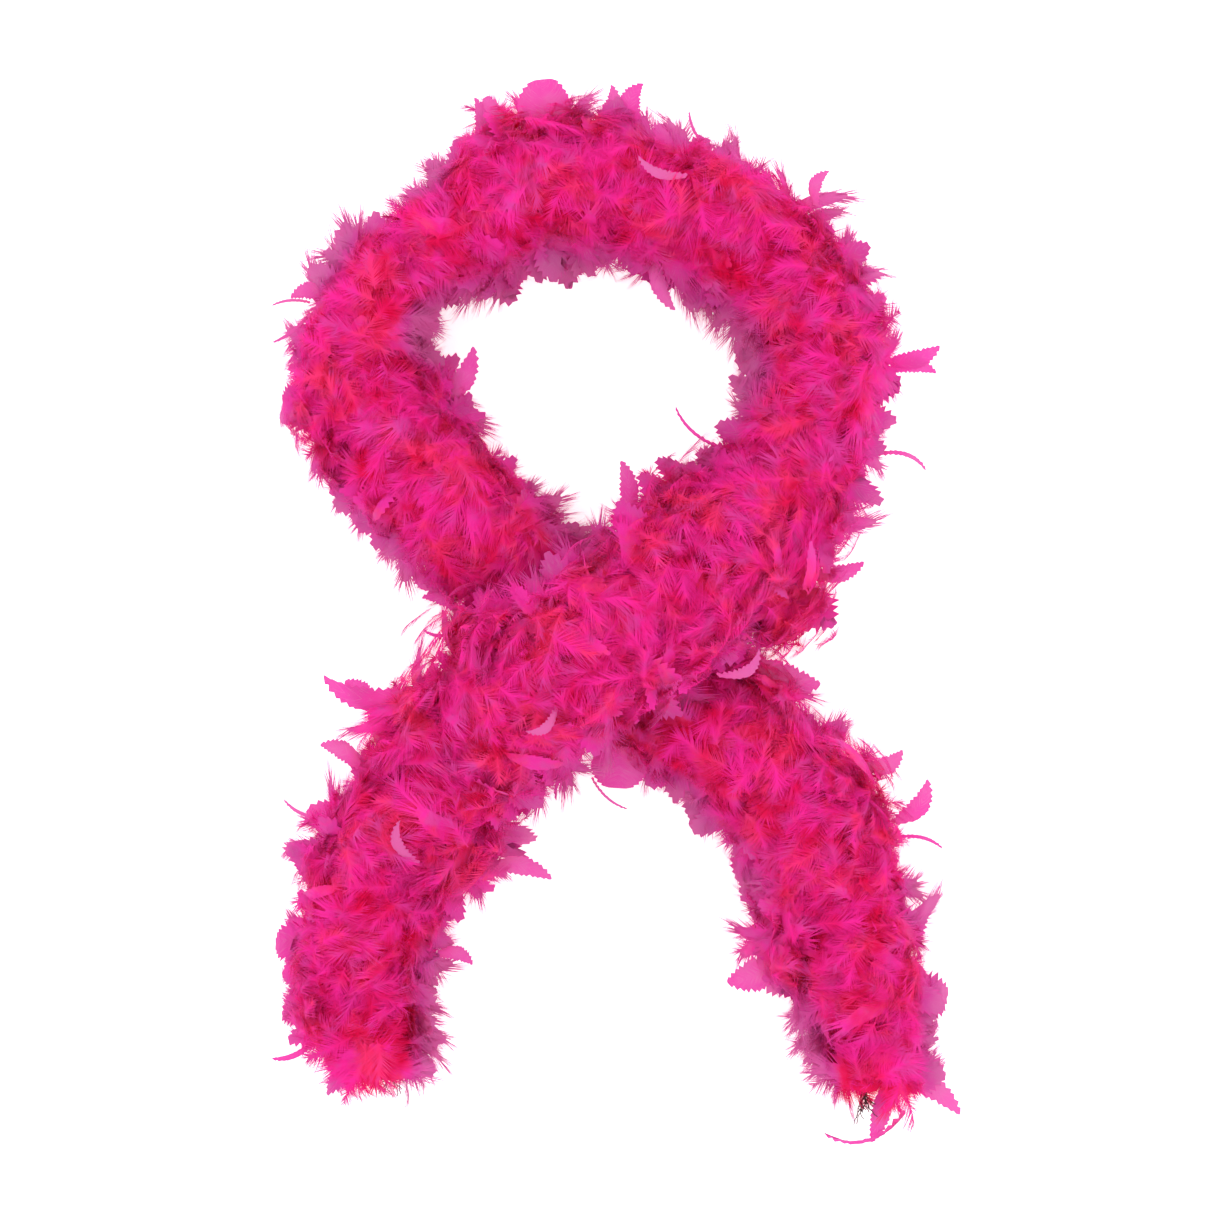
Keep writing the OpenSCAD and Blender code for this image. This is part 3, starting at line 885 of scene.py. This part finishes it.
class BOA_OT_stage(bpy.types.Operator):
    """Makes the floor, the lights and the camera"""

    bl_idname = "boa.stage"
    bl_label = "Stage"

    def execute(self, context):
        scene = context.scene
        scene.view_settings.view_transform = "Standard"
        scene.cycles.diffuse_bounces = 8
        scene.cycles.max_bounces = 12
        centre = np.array((-4.7, 10.8, 50)) * MM
        camera = bpy.data.cameras.new("Camera")
        camera.sensor_width = 36
        distance, view_width = 3.0, 0.880
        camera.lens = 36 * distance / view_width
        scene.camera = in_scene("Camera", camera)
        scene.camera.location = centre + (0, 0, distance)
        mesh = bpy.data.meshes.new("floor")
        mesh.from_pydata([(-6, -6, 0), (6, -6, 0), (6, 6, 0), (-6, 6, 0)], [], [(0, 1, 2, 3)])
        floor = in_scene("floor", mesh)
        paint, _, skin = new_material("pale_floor")
        skin.inputs["Base Color"].default_value = (0.93, 0.93, 0.93, 1)
        skin.inputs["Roughness"].default_value = 0.9
        skin.inputs["Emission Color"].default_value = (1, 1, 1, 1)
        skin.inputs["Emission Strength"].default_value = 0.6
        mesh.materials.append(paint)
        world = bpy.data.worlds.new("World")
        scene.world = world
        world.use_nodes = True
        world.node_tree.nodes["Background"].inputs["Color"].default_value = (1, 1, 1, 1)
        world.node_tree.nodes["Background"].inputs["Strength"].default_value = 1.15
        for name, spot, power, size in (("key_light", (-1.4, 1.2, 2.4), 14, 1.6),
                                        ("fill_light", (1.6, -0.6, 2.2), 9, 2.2)):
            lamp = bpy.data.lights.new(name, "AREA")
            lamp.energy, lamp.size = power, size
            held = in_scene(name, lamp)
            held.location = spot
            held.rotation_euler = Vector(-np.array(spot)).to_track_quat("-Z", "Y").to_euler()
        return {"FINISHED"}


def tube(name, centres, radius, sides, lobes=0, pitch=1.0, closed=False):
    """A round cord through the centres; lobes are the plies twisted round it."""
    centres = np.array(centres)
    ahead = unit(np.gradient(centres, axis=0)) if not closed else unit(
        np.roll(centres, -1, 0) - np.roll(centres, 1, 0))
    run = np.concatenate([[0], np.cumsum(np.linalg.norm(np.diff(centres, axis=0), axis=1))])
    aside = np.cross(ahead[0], (0, 0, 1.0))
    if np.linalg.norm(aside) < 0.1:
        aside = np.cross(ahead[0], (1.0, 0, 0))
    points, faces = [], []
    for k, (p, u) in enumerate(zip(centres, ahead)):
        aside = unit(aside - u * (aside @ u))
        other = np.cross(u, aside)
        for j in range(sides):
            a = 2 * math.pi * j / sides
            bulge = 0.13 * math.cos(lobes * (a - 2 * math.pi * run[k] / pitch)) if lobes else 0
            r = radius * (1 + bulge)
            points.append(p + (aside * math.cos(a) + other * math.sin(a)) * r)
    rings = len(centres)
    for k in range(rings if closed else rings - 1):
        for j in range(sides):
            b, c = (k + 1) % rings, (j + 1) % sides
            faces.append((k * sides + j, k * sides + c, b * sides + c, b * sides + j))
    if not closed:
        faces.append(tuple(reversed(range(sides))))
        faces.append(tuple((rings - 1) * sides + j for j in range(sides)))
    mesh = bpy.data.meshes.new(name)
    mesh.from_pydata([tuple(p) for p in points], [], faces)
    mesh.polygons.foreach_set("use_smooth", [True] * len(mesh.polygons))
    mesh.update()
    return in_scene(name, mesh)


class BOA_OT_core_cord(bpy.types.Operator):
    """Lays the twisted core cord, one piece for each section"""

    bl_idname = "boa.core_cord"
    bl_label = "Core cord"

    def execute(self, context):
        sizes = context.scene.boa_sizes
        dyed = fibre_material("dyed_cord", tuple(context.scene.boa_colours.cord), 900.0)
        for section in SECTIONS:
            a, b = knot_run(section[1]), knot_run(section[2])
            d = np.linspace(a, b, max(8, int((b - a) / (1.5 * MM))))
            centres = at(d)
            made = tube(section[0] + "_core_cord", centres, sizes.cord_radius, 18, 3, 9 * MM)
            made.data.materials.append(dyed)
            place(made, section, "cord")
        return {"FINISHED"}


def thread_tree(material):
    """A round thread along a line."""
    tree, g = new_tree("Wound thread", (
        ("Line", "Geometry"), ("Radius", "Float"), ("Sides", "Int")), "Thread")
    curve = link_nodes(tree, "GeometryNodeMeshToCurve", {"Mesh": g["Line"]})
    ring = link_nodes(tree, "GeometryNodeCurvePrimitiveCircle", {
        "Resolution": g["Sides"], "Radius": g["Radius"]})
    swept = link_nodes(tree, "GeometryNodeCurveToMesh", {
        "Curve": curve.outputs[0], "Profile Curve": ring.outputs[0], "Fill Caps": True})
    real = link_nodes(tree, "GeometryNodeRealizeInstances", {0: swept.outputs[0]})
    dressed = link_nodes(tree, "GeometryNodeSetMaterial", {
        "Geometry": real.outputs[0], "Material": material})
    end_tree(tree, dressed.outputs[0])
    return tree


def line_mesh(name, lines):
    points, edges = [], []
    for line in lines:
        base = len(points)
        points += [tuple(p) for p in line]
        edges += [(base + k, base + k + 1) for k in range(len(line) - 1)]
    mesh = bpy.data.meshes.new(name)
    mesh.from_pydata(points, edges, [])
    return in_scene(name, mesh)


class BOA_OT_binding(bpy.types.Operator):
    """Winds the binding thread round the core"""

    bl_idname = "boa.binding"
    bl_label = "Binding thread"

    def execute(self, context):
        sizes = context.scene.boa_sizes
        cotton = fibre_material("binding_thread", tuple(context.scene.boa_colours.thread), 1600.0)
        tree = thread_tree(cotton)
        pitch = 2.4 * MM
        for section in SECTIONS:
            a, b = knot_run(section[1]), knot_run(section[2])
            d = np.arange(a, b, pitch / 10)
            turn = 2 * math.pi * d / pitch
            r = sizes.cord_radius * 1.13 + sizes.thread_radius
            coil = (at(d) + side(d) * (r * np.cos(turn))[:, None]
                    + upward(d) * (r * np.sin(turn))[:, None])
            line = line_mesh("coil", [coil])
            made = grown(section[0] + "_binding", line, tree, {
                "Radius": sizes.thread_radius, "Sides": 5})
            dropped(line)
            place(made, section, "binding")
        return {"FINISHED"}


class BOA_OT_knots(bpy.types.Operator):
    """Ties the knot at each end of the cord"""

    bl_idname = "boa.knots"
    bl_label = "End knots"

    def execute(self, context):
        sizes = context.scene.boa_sizes
        dyed = bpy.data.materials["dyed_cord"]
        t = np.linspace(0, 2 * math.pi, 96, endpoint=False)
        loop = np.stack([np.sin(3 * t) * 1.2, np.sin(t) + 2 * np.sin(2 * t),
                         np.cos(t) - 2 * np.cos(2 * t)], -1) * 1.05 * MM
        for end, d, way in ENDS:
            u = along(d) * way
            v = side(d)
            centre = at(d) + u * 4.5 * MM
            w = np.cross(u, v)
            points = centre + loop[:, :1] * u * 1.6 + loop[:, 1:2] * v + loop[:, 2:] * w
            made = tube(end + "_knot", points, sizes.cord_radius, 12, closed=True)
            made.data.materials.append(dyed)
            place_at_end(made, end, "end_knot")
        return {"FINISHED"}


class BOA_OT_frays(bpy.types.Operator):
    """Opens out the cord's plies past each knot"""

    bl_idname = "boa.frays"
    bl_label = "Frayed threads"

    def execute(self, context):
        rng = np.random.default_rng(context.scene.boa_sizes.seed + 90)
        dark = fibre_material("frayed_thread", tuple(context.scene.boa_colours.fray), 1200.0)
        tree = thread_tree(dark)
        for end, d, way in ENDS:
            u, v = along(d) * way, side(d)
            root = at(d) + u * 8 * MM
            lines = []
            for k in range(15):
                swing = math.radians(rng.uniform(-38, 38))
                droop = rng.uniform(-0.15, 0.35)
                long = rng.uniform(12, 26) * MM
                bend = rng.uniform(-0.7, 0.7)
                p = root + v * rng.uniform(-1.6, 1.6) * MM + (0, 0, rng.uniform(-1.2, 1.2) * MM)
                line = []
                for j in range(9):
                    line.append(p.copy())
                    a = swing + bend * j / 4 + 0.35 * math.sin(j * 1.7 + k)
                    p = p + (u * math.cos(a) + v * math.sin(a) - (0, 0, droop)) * long / 8
                lines.append(line)
                if k % 2:
                    start = np.array(line[4])
                    fork = u * 0.6 + v * 0.8 * (1 if k % 4 == 1 else -1)
                    lines.append([start + fork * j * 1.6 * MM for j in range(4)])
            line = line_mesh("plies", lines)
            made = grown(end + "_fray", line, tree, {"Radius": 0.34 * MM, "Sides": 5})
            dropped(line)
            place_at_end(made, end, "frayed_threads")
        return {"FINISHED"}


class BOA_OT_plumes(bpy.types.Operator):
    """Fills the strand with down tufts and loose-barbed plumes"""

    bl_idname = "boa.plumes"
    bl_label = "Downy plumes"

    def execute(self, context):
        sizes, colours = context.scene.boa_sizes, context.scene.boa_colours
        rng = np.random.default_rng(sizes.seed)
        tufts = collected("down", [
            down_tuft(f"down_{k}", rng, rng.uniform(11, 17) * MM, 48, 52, 0.55 * MM) for k in range(8)])
        loose = collected("plumes", [
            plume(f"plume_{k}", rng, rng.uniform(22, 34) * MM, rng.uniform(11, 16) * MM, 29,
                  rng.uniform(30, 60) * MM, 0.65 * MM, 0.15) for k in range(10)])
        dyed = feather_material("dyed_down", colours, False)
        plain = plain_material("plain_down", (0.80, 0.015, 0.17, 1))
        tufted, plumed = sizes.down_per_metre, sizes.plumes_per_metre
        layers = [
            (tufts, tufted * 0.4, (-75, 90), (0.30, 0.6), (35, 90), (0.8, 1.2)),
            (tufts, tufted * 0.6, (-75, 90), (0.6, 0.82), (25, 85), (0.8, 1.2)),
            (loose, plumed * 0.45, (-75, 90), (0.35, 0.62), (30, 75), (0.75, 1.15), 0.3),
            (loose, plumed * 0.55, (-60, 90), (0.66, 0.92), (5, 38), (0.75, 1.15), 0.0, 0.42),
        ]
        fill_strand("plumes", strand_tree("Downy strand", dyed, len(layers)),
                    (dyed, plain), sizes.seed, layers)
        return {"FINISHED"}


class BOA_OT_flats(bpy.types.Operator):
    """Lays the webbed flats over the strand and along its rims"""

    bl_idname = "boa.flats"
    bl_label = "Webbed flats"

    def execute(self, context):
        sizes, colours = context.scene.boa_sizes, context.scene.boa_colours
        rng = np.random.default_rng(sizes.seed + 1)
        soft = collected("soft_flats", [
            soft_flat(f"soft_flat_{k}", rng, rng.uniform(26, 38) * MM, rng.uniform(19, 28) * MM,
                      rng.uniform(30, 52) * MM, rng.uniform(0.1, 0.4), 62, 0.7 * MM)
            for k in range(10)])
        flats = collected("flats", [
            webbed_flat(f"flat_{k}", rng, rng.uniform(26, 38) * MM, rng.uniform(9, 14) * MM,
                        k % 3 != 0, rng.uniform(0.10, 0.2), rng.uniform(22, 45) * MM,
                        rng.uniform(0.3, 0.9)) for k in range(9)])
        fringe = collected("fringe", [
            webbed_flat(f"fringe_{k}", rng, rng.uniform(32, 44) * MM, rng.uniform(16, 30) * MM,
                        k % 2 == 1, rng.uniform(0.15, 0.30), rng.uniform(70, 200) * MM,
                        rng.uniform(0.1, 0.5)) for k in range(12)])
        spikes = collected("ribbons", [
            ribbon(f"ribbon_{k}", rng, rng.uniform(30, 42) * MM, rng.uniform(3, 5) * MM,
                   rng.uniform(-1.2, 1.2), k % 4 == 3) for k in range(6)])
        dyed = feather_material("dyed_vane", colours, True)
        plain = plain_material("plain_vane", (0.80, 0.03, 0.25, 1))
        laid, fringed = sizes.flats_per_metre, sizes.fringe_per_metre
        layers = [
            (soft, laid, (-50, 90), (0.54, 0.80), (4, 26), (0.8, 1.2), 0.0, 0.50),
            (soft, fringed * 0.6, (-20, 60), (0.40, 0.70), (40, 90), (0.85, 1.2), 1.3, 0.46),
            (fringe, fringed * 0.4, (-25, 45), (0.34, 0.58), (50, 90), (0.8, 1.2), 1.3, 0.50),
            (flats, 60, (0, 90), (0.68, 0.82), (8, 40), (0.8, 1.2), 0.2),
            (spikes, 50, (-10, 30), (0.45, 0.62), (45, 90), (0.7, 1.1), 1.2),
        ]
        fill_strand("flats", strand_tree("Flat strand", dyed, len(layers)),
                    (dyed, plain), sizes.seed + 7000, layers)
        return {"FINISHED"}


# Feathers that stand out on their own: name, kind, root and tip in millimetres, greatest
# width, and sideways bow (a share of the length, to the left on the way from root to tip).
STANDOUTS = [
    ("low_left", "ribbon", (-216, -303, 40), (-250, -315, 34), 8, 0.15),
    ("end_arc", "ribbon", (212, -356, 44), (152, -362, 40), 5, 0.26),
    ("end_corner", "flat", (206, -326, 44), (250, -361, 38), 18, 0.10),
    ("end_drop", "flat", (196, -340, 46), (186, -378, 40), 15, 0.06),
    ("crown", "round", (-46, 352, 50), (-50, 394, 46), 40, 0.05),
    ("crown_right", "flat", (-12, 362, 48), (-6, 391, 44), 13, -0.25),
    ("crown_hook", "flat", (16, 362, 50), (26, 389, 46), 16, 0.28),
    ("crown_left", "flat", (-98, 334, 52), (-104, 380, 48), 12, -0.12),
    ("crown_fan", "flat", (-84, 352, 50), (-90, 382, 46), 24, 0.08),
    ("crown_spike", "ribbon", (66, 345, 52), (57, 371, 48), 4, 0.12),
    ("shoulder_hook", "flat", (146, 302, 50), (160, 325, 46), 11, 0.25),
    ("side_star_a", "flat", (200, 188, 48), (236, 203, 42), 15, -0.12),
    ("side_star_b", "flat", (202, 184, 46), (234, 178, 42), 12, 0.15),
    ("side_spike", "ribbon", (192, 122, 48), (225, 106, 42), 6, 0.2),
    ("side_long", "flat", (146, 34, 52), (181, 46, 44), 14, -0.12),
    ("loop_spike", "ribbon", (-220, 224, 48), (-249, 205, 42), 5, 0.1),
    ("loop_spike_top", "ribbon", (-220, 232, 48), (-248, 228, 42), 4, -0.1),
    ("loop_leaf", "flat", (-206, 236, 50), (-234, 232, 44), 14, -0.2),
    ("hole_leaf", "flat", (-128, 158, 50), (-106, 202, 44), 18, -0.16),
    ("hole_ribbon", "ribbon", (78, 126, 50), (48, 159, 44), 4.5, 0.14),
    ("hole_spike", "flat", (10, 76, 70), (3, 116, 56), 15, -0.1),
    ("hole_top", "flat", (30, 266, 50), (48, 228, 44), 13, -0.14),
    ("crotch_leaf", "round", (4, -90, 56), (2, -121, 40), 42, 0.03),
    ("crotch_spike", "ribbon", (-22, -94, 56), (-37, -132, 38), 4.5, -0.18),
    ("crotch_ribbon", "ribbon", (-16, -113, 46), (12, -134, 38), 3.5, -0.12),
    ("arm_leaf", "flat", (-150, -52, 54), (-208, -32, 44), 18, 0.2),
    ("arm_leaf_low", "flat", (-184, -104, 50), (-214, -92, 44), 15, -0.15),
    ("arm_spike", "ribbon", (-208, -142, 48), (-238, -126, 42), 5, 0.15),
    ("arm_fan", "flat", (-176, -62, 50), (-196, -44, 44), 18, -0.1),
    ("waist_leaf", "flat", (-118, 26, 46), (-146, 44, 40), 13, 0.2),
    ("waist_leaf_low", "flat", (-112, 8, 46), (-140, 14, 40), 12, -0.2),
    ("waist_spike", "ribbon", (-112, -6, 46), (-138, -2, 40), 5, 0.2),
    ("tail_in", "flat", (-88, -176, 50), (-46, -190, 42), 15, 0.12),
    ("tail_in_low", "flat", (-128, -240, 50), (-104, -252, 42), 12, 0.2),
    ("tail_out", "flat", (204, -146, 50), (224, -112, 44), 16, -0.2),
    ("tail_out_top", "flat", (182, -106, 50), (208, -90, 44), 15, -0.2),
    ("notch_leaf", "flat", (102, -14, 60), (152, -3, 48), 26, 0.12),
    ("notch_leaf_low", "flat", (106, -32, 56), (151, -42, 44), 26, -0.12),
    ("tail_out_low", "ribbon", (206, -156, 48), (238, -168, 42), 5, 0.15),
    ("tail_gap", "flat", (120, -246, 50), (82, -260, 42), 26, 0.08),
    ("curl_a", "flat", (52, 318, 99), (20, 336, 103), 8, 0.2),
    ("curl_b", "flat", (74, -38, 118), (98, -14, 128), 9, -0.3),
    ("curl_c", "flat", (-140, -172, 98), (-146, -140, 103), 9, 0.3),
    ("curl_d", "flat", (-40, -60, 132), (-64, -72, 138), 8, 0.3),
]


def standing(kind, root, tip, width, bow):
    """A feather between two points, bowed sideways: round, flat (pointed, toothed) or ribbon."""
    shape = Shape()
    root, tip = np.array(root, float) * MM, np.array(tip, float) * MM
    width *= MM
    long = np.linalg.norm(tip - root)
    ahead = (tip - root) / long
    left = unit(np.cross((0, 0, 1.0), ahead))
    rows = 12
    last = rows - 1
    centre, middle, rim, tooth = [], {-1: [], 1: []}, {-1: [], 1: []}, {-1: [], 1: []}
    for k in range(rows):
        t = k / last
        p = root + (tip - root) * t + left * (4 * bow * t * (1 - t) + bow * t * t * 0.6) * long
        p[2] += 3 * MM * math.sin(math.pi * t)
        if kind == "round":
            half = math.sin(math.pi * min(1, 0.10 + 0.86 * t)) ** 0.55
        elif kind == "flat":
            half = max(0.04, math.sin(math.pi * min(1, 0.12 + 0.86 * t) ** 0.9)) ** 0.9
        else:
            half = max(0.05, (1 - t) ** 0.5 * (0.5 + 0.6 * t))
        half *= width / 2
        centre.append(shape.point(p, t, 0))
        for s in (-1, 1):
            low = -0.25 * half
            middle[s].append(shape.point(p + left * s * half * 0.55 + (0, 0, low * 0.3), t, 0.5))
            notch = {"round": 0.97, "flat": 0.86 - 0.1 * (k % 3 == 1), "ribbon": 0.95}[kind]
            rim[s].append(shape.point(p + left * s * half * notch + (0, 0, low), t, 1))
            tooth[s].append(shape.point(
                p + left * s * half + ahead * long * (0.045 + 0.02 * (k % 2)) + (0, 0, low), t, 1))
    for s in (-1, 1):
        for k in range(last):
            inner = (centre[k], centre[k + 1], middle[s][k + 1], middle[s][k])
            outer = (middle[s][k], middle[s][k + 1], rim[s][k + 1], tooth[s][k], rim[s][k])
            shape.faces += [inner, outer] if s > 0 else [inner[::-1], outer[::-1]]
    return shape


class BOA_OT_standouts(bpy.types.Operator):
    """Places the single feathers that stand out of the strand"""

    bl_idname = "boa.standouts"
    bl_label = "Standing feathers"

    def execute(self, context):
        dyed, plain = bpy.data.materials["dyed_vane"], bpy.data.materials["plain_vane"]
        for n, (name, kind, root, *form) in enumerate(STANDOUTS):
            made = standing(kind, root, *form).made(name + "_feather")
            context.scene.collection.objects.link(made)
            curled = name.startswith("curl")
            # A rim share past 1 gives these feathers the mauve painted light and pale painted sheen of
            # the rims; depth 1 keeps the painted shade off them
            for key, share in (("rim", 1.2 if curled else 1.05), ("depth", 1.0),
                               ("tone", (n * 0.37) % 1.0)):
                give(made.data, key, [share] * len(made.data.vertices))
            dye(made, dyed, plain)
            carry(made, section_at(np.array(root, float) * MM))
        return {"FINISHED"}


class BOA_PT_panel(bpy.types.Panel):
    """Steps that make the boa"""

    bl_label = "Feather Boa"
    bl_space_type = "VIEW_3D"
    bl_region_type = "UI"
    bl_category = "Boa"

    def draw(self, context):
        for kind in STEPS_IN_ORDER:
            self.layout.operator(kind.bl_idname)


STEPS_IN_ORDER = (BOA_OT_stage, BOA_OT_core_cord, BOA_OT_binding, BOA_OT_knots, BOA_OT_frays,
                  BOA_OT_plumes, BOA_OT_flats, BOA_OT_standouts)
CLASSES = (BoaSizes, BoaColours, *STEPS_IN_ORDER, BOA_PT_panel)


def register():
    for kind in CLASSES:
        bpy.utils.register_class(kind)
    bpy.types.Scene.boa_sizes = PointerProperty(type=BoaSizes)
    bpy.types.Scene.boa_colours = PointerProperty(type=BoaColours)


def unregister():
    del bpy.types.Scene.boa_sizes
    del bpy.types.Scene.boa_colours
    for kind in reversed(CLASSES):
        bpy.utils.unregister_class(kind)


def main():
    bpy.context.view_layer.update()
    register()
    bpy.ops.boa.stage()
    bpy.ops.boa.core_cord()
    bpy.ops.boa.binding()
    bpy.ops.boa.knots()
    bpy.ops.boa.frays()
    bpy.ops.boa.plumes()
    bpy.ops.boa.flats()
    bpy.ops.boa.standouts()


if __name__ == "__main__":
    main()
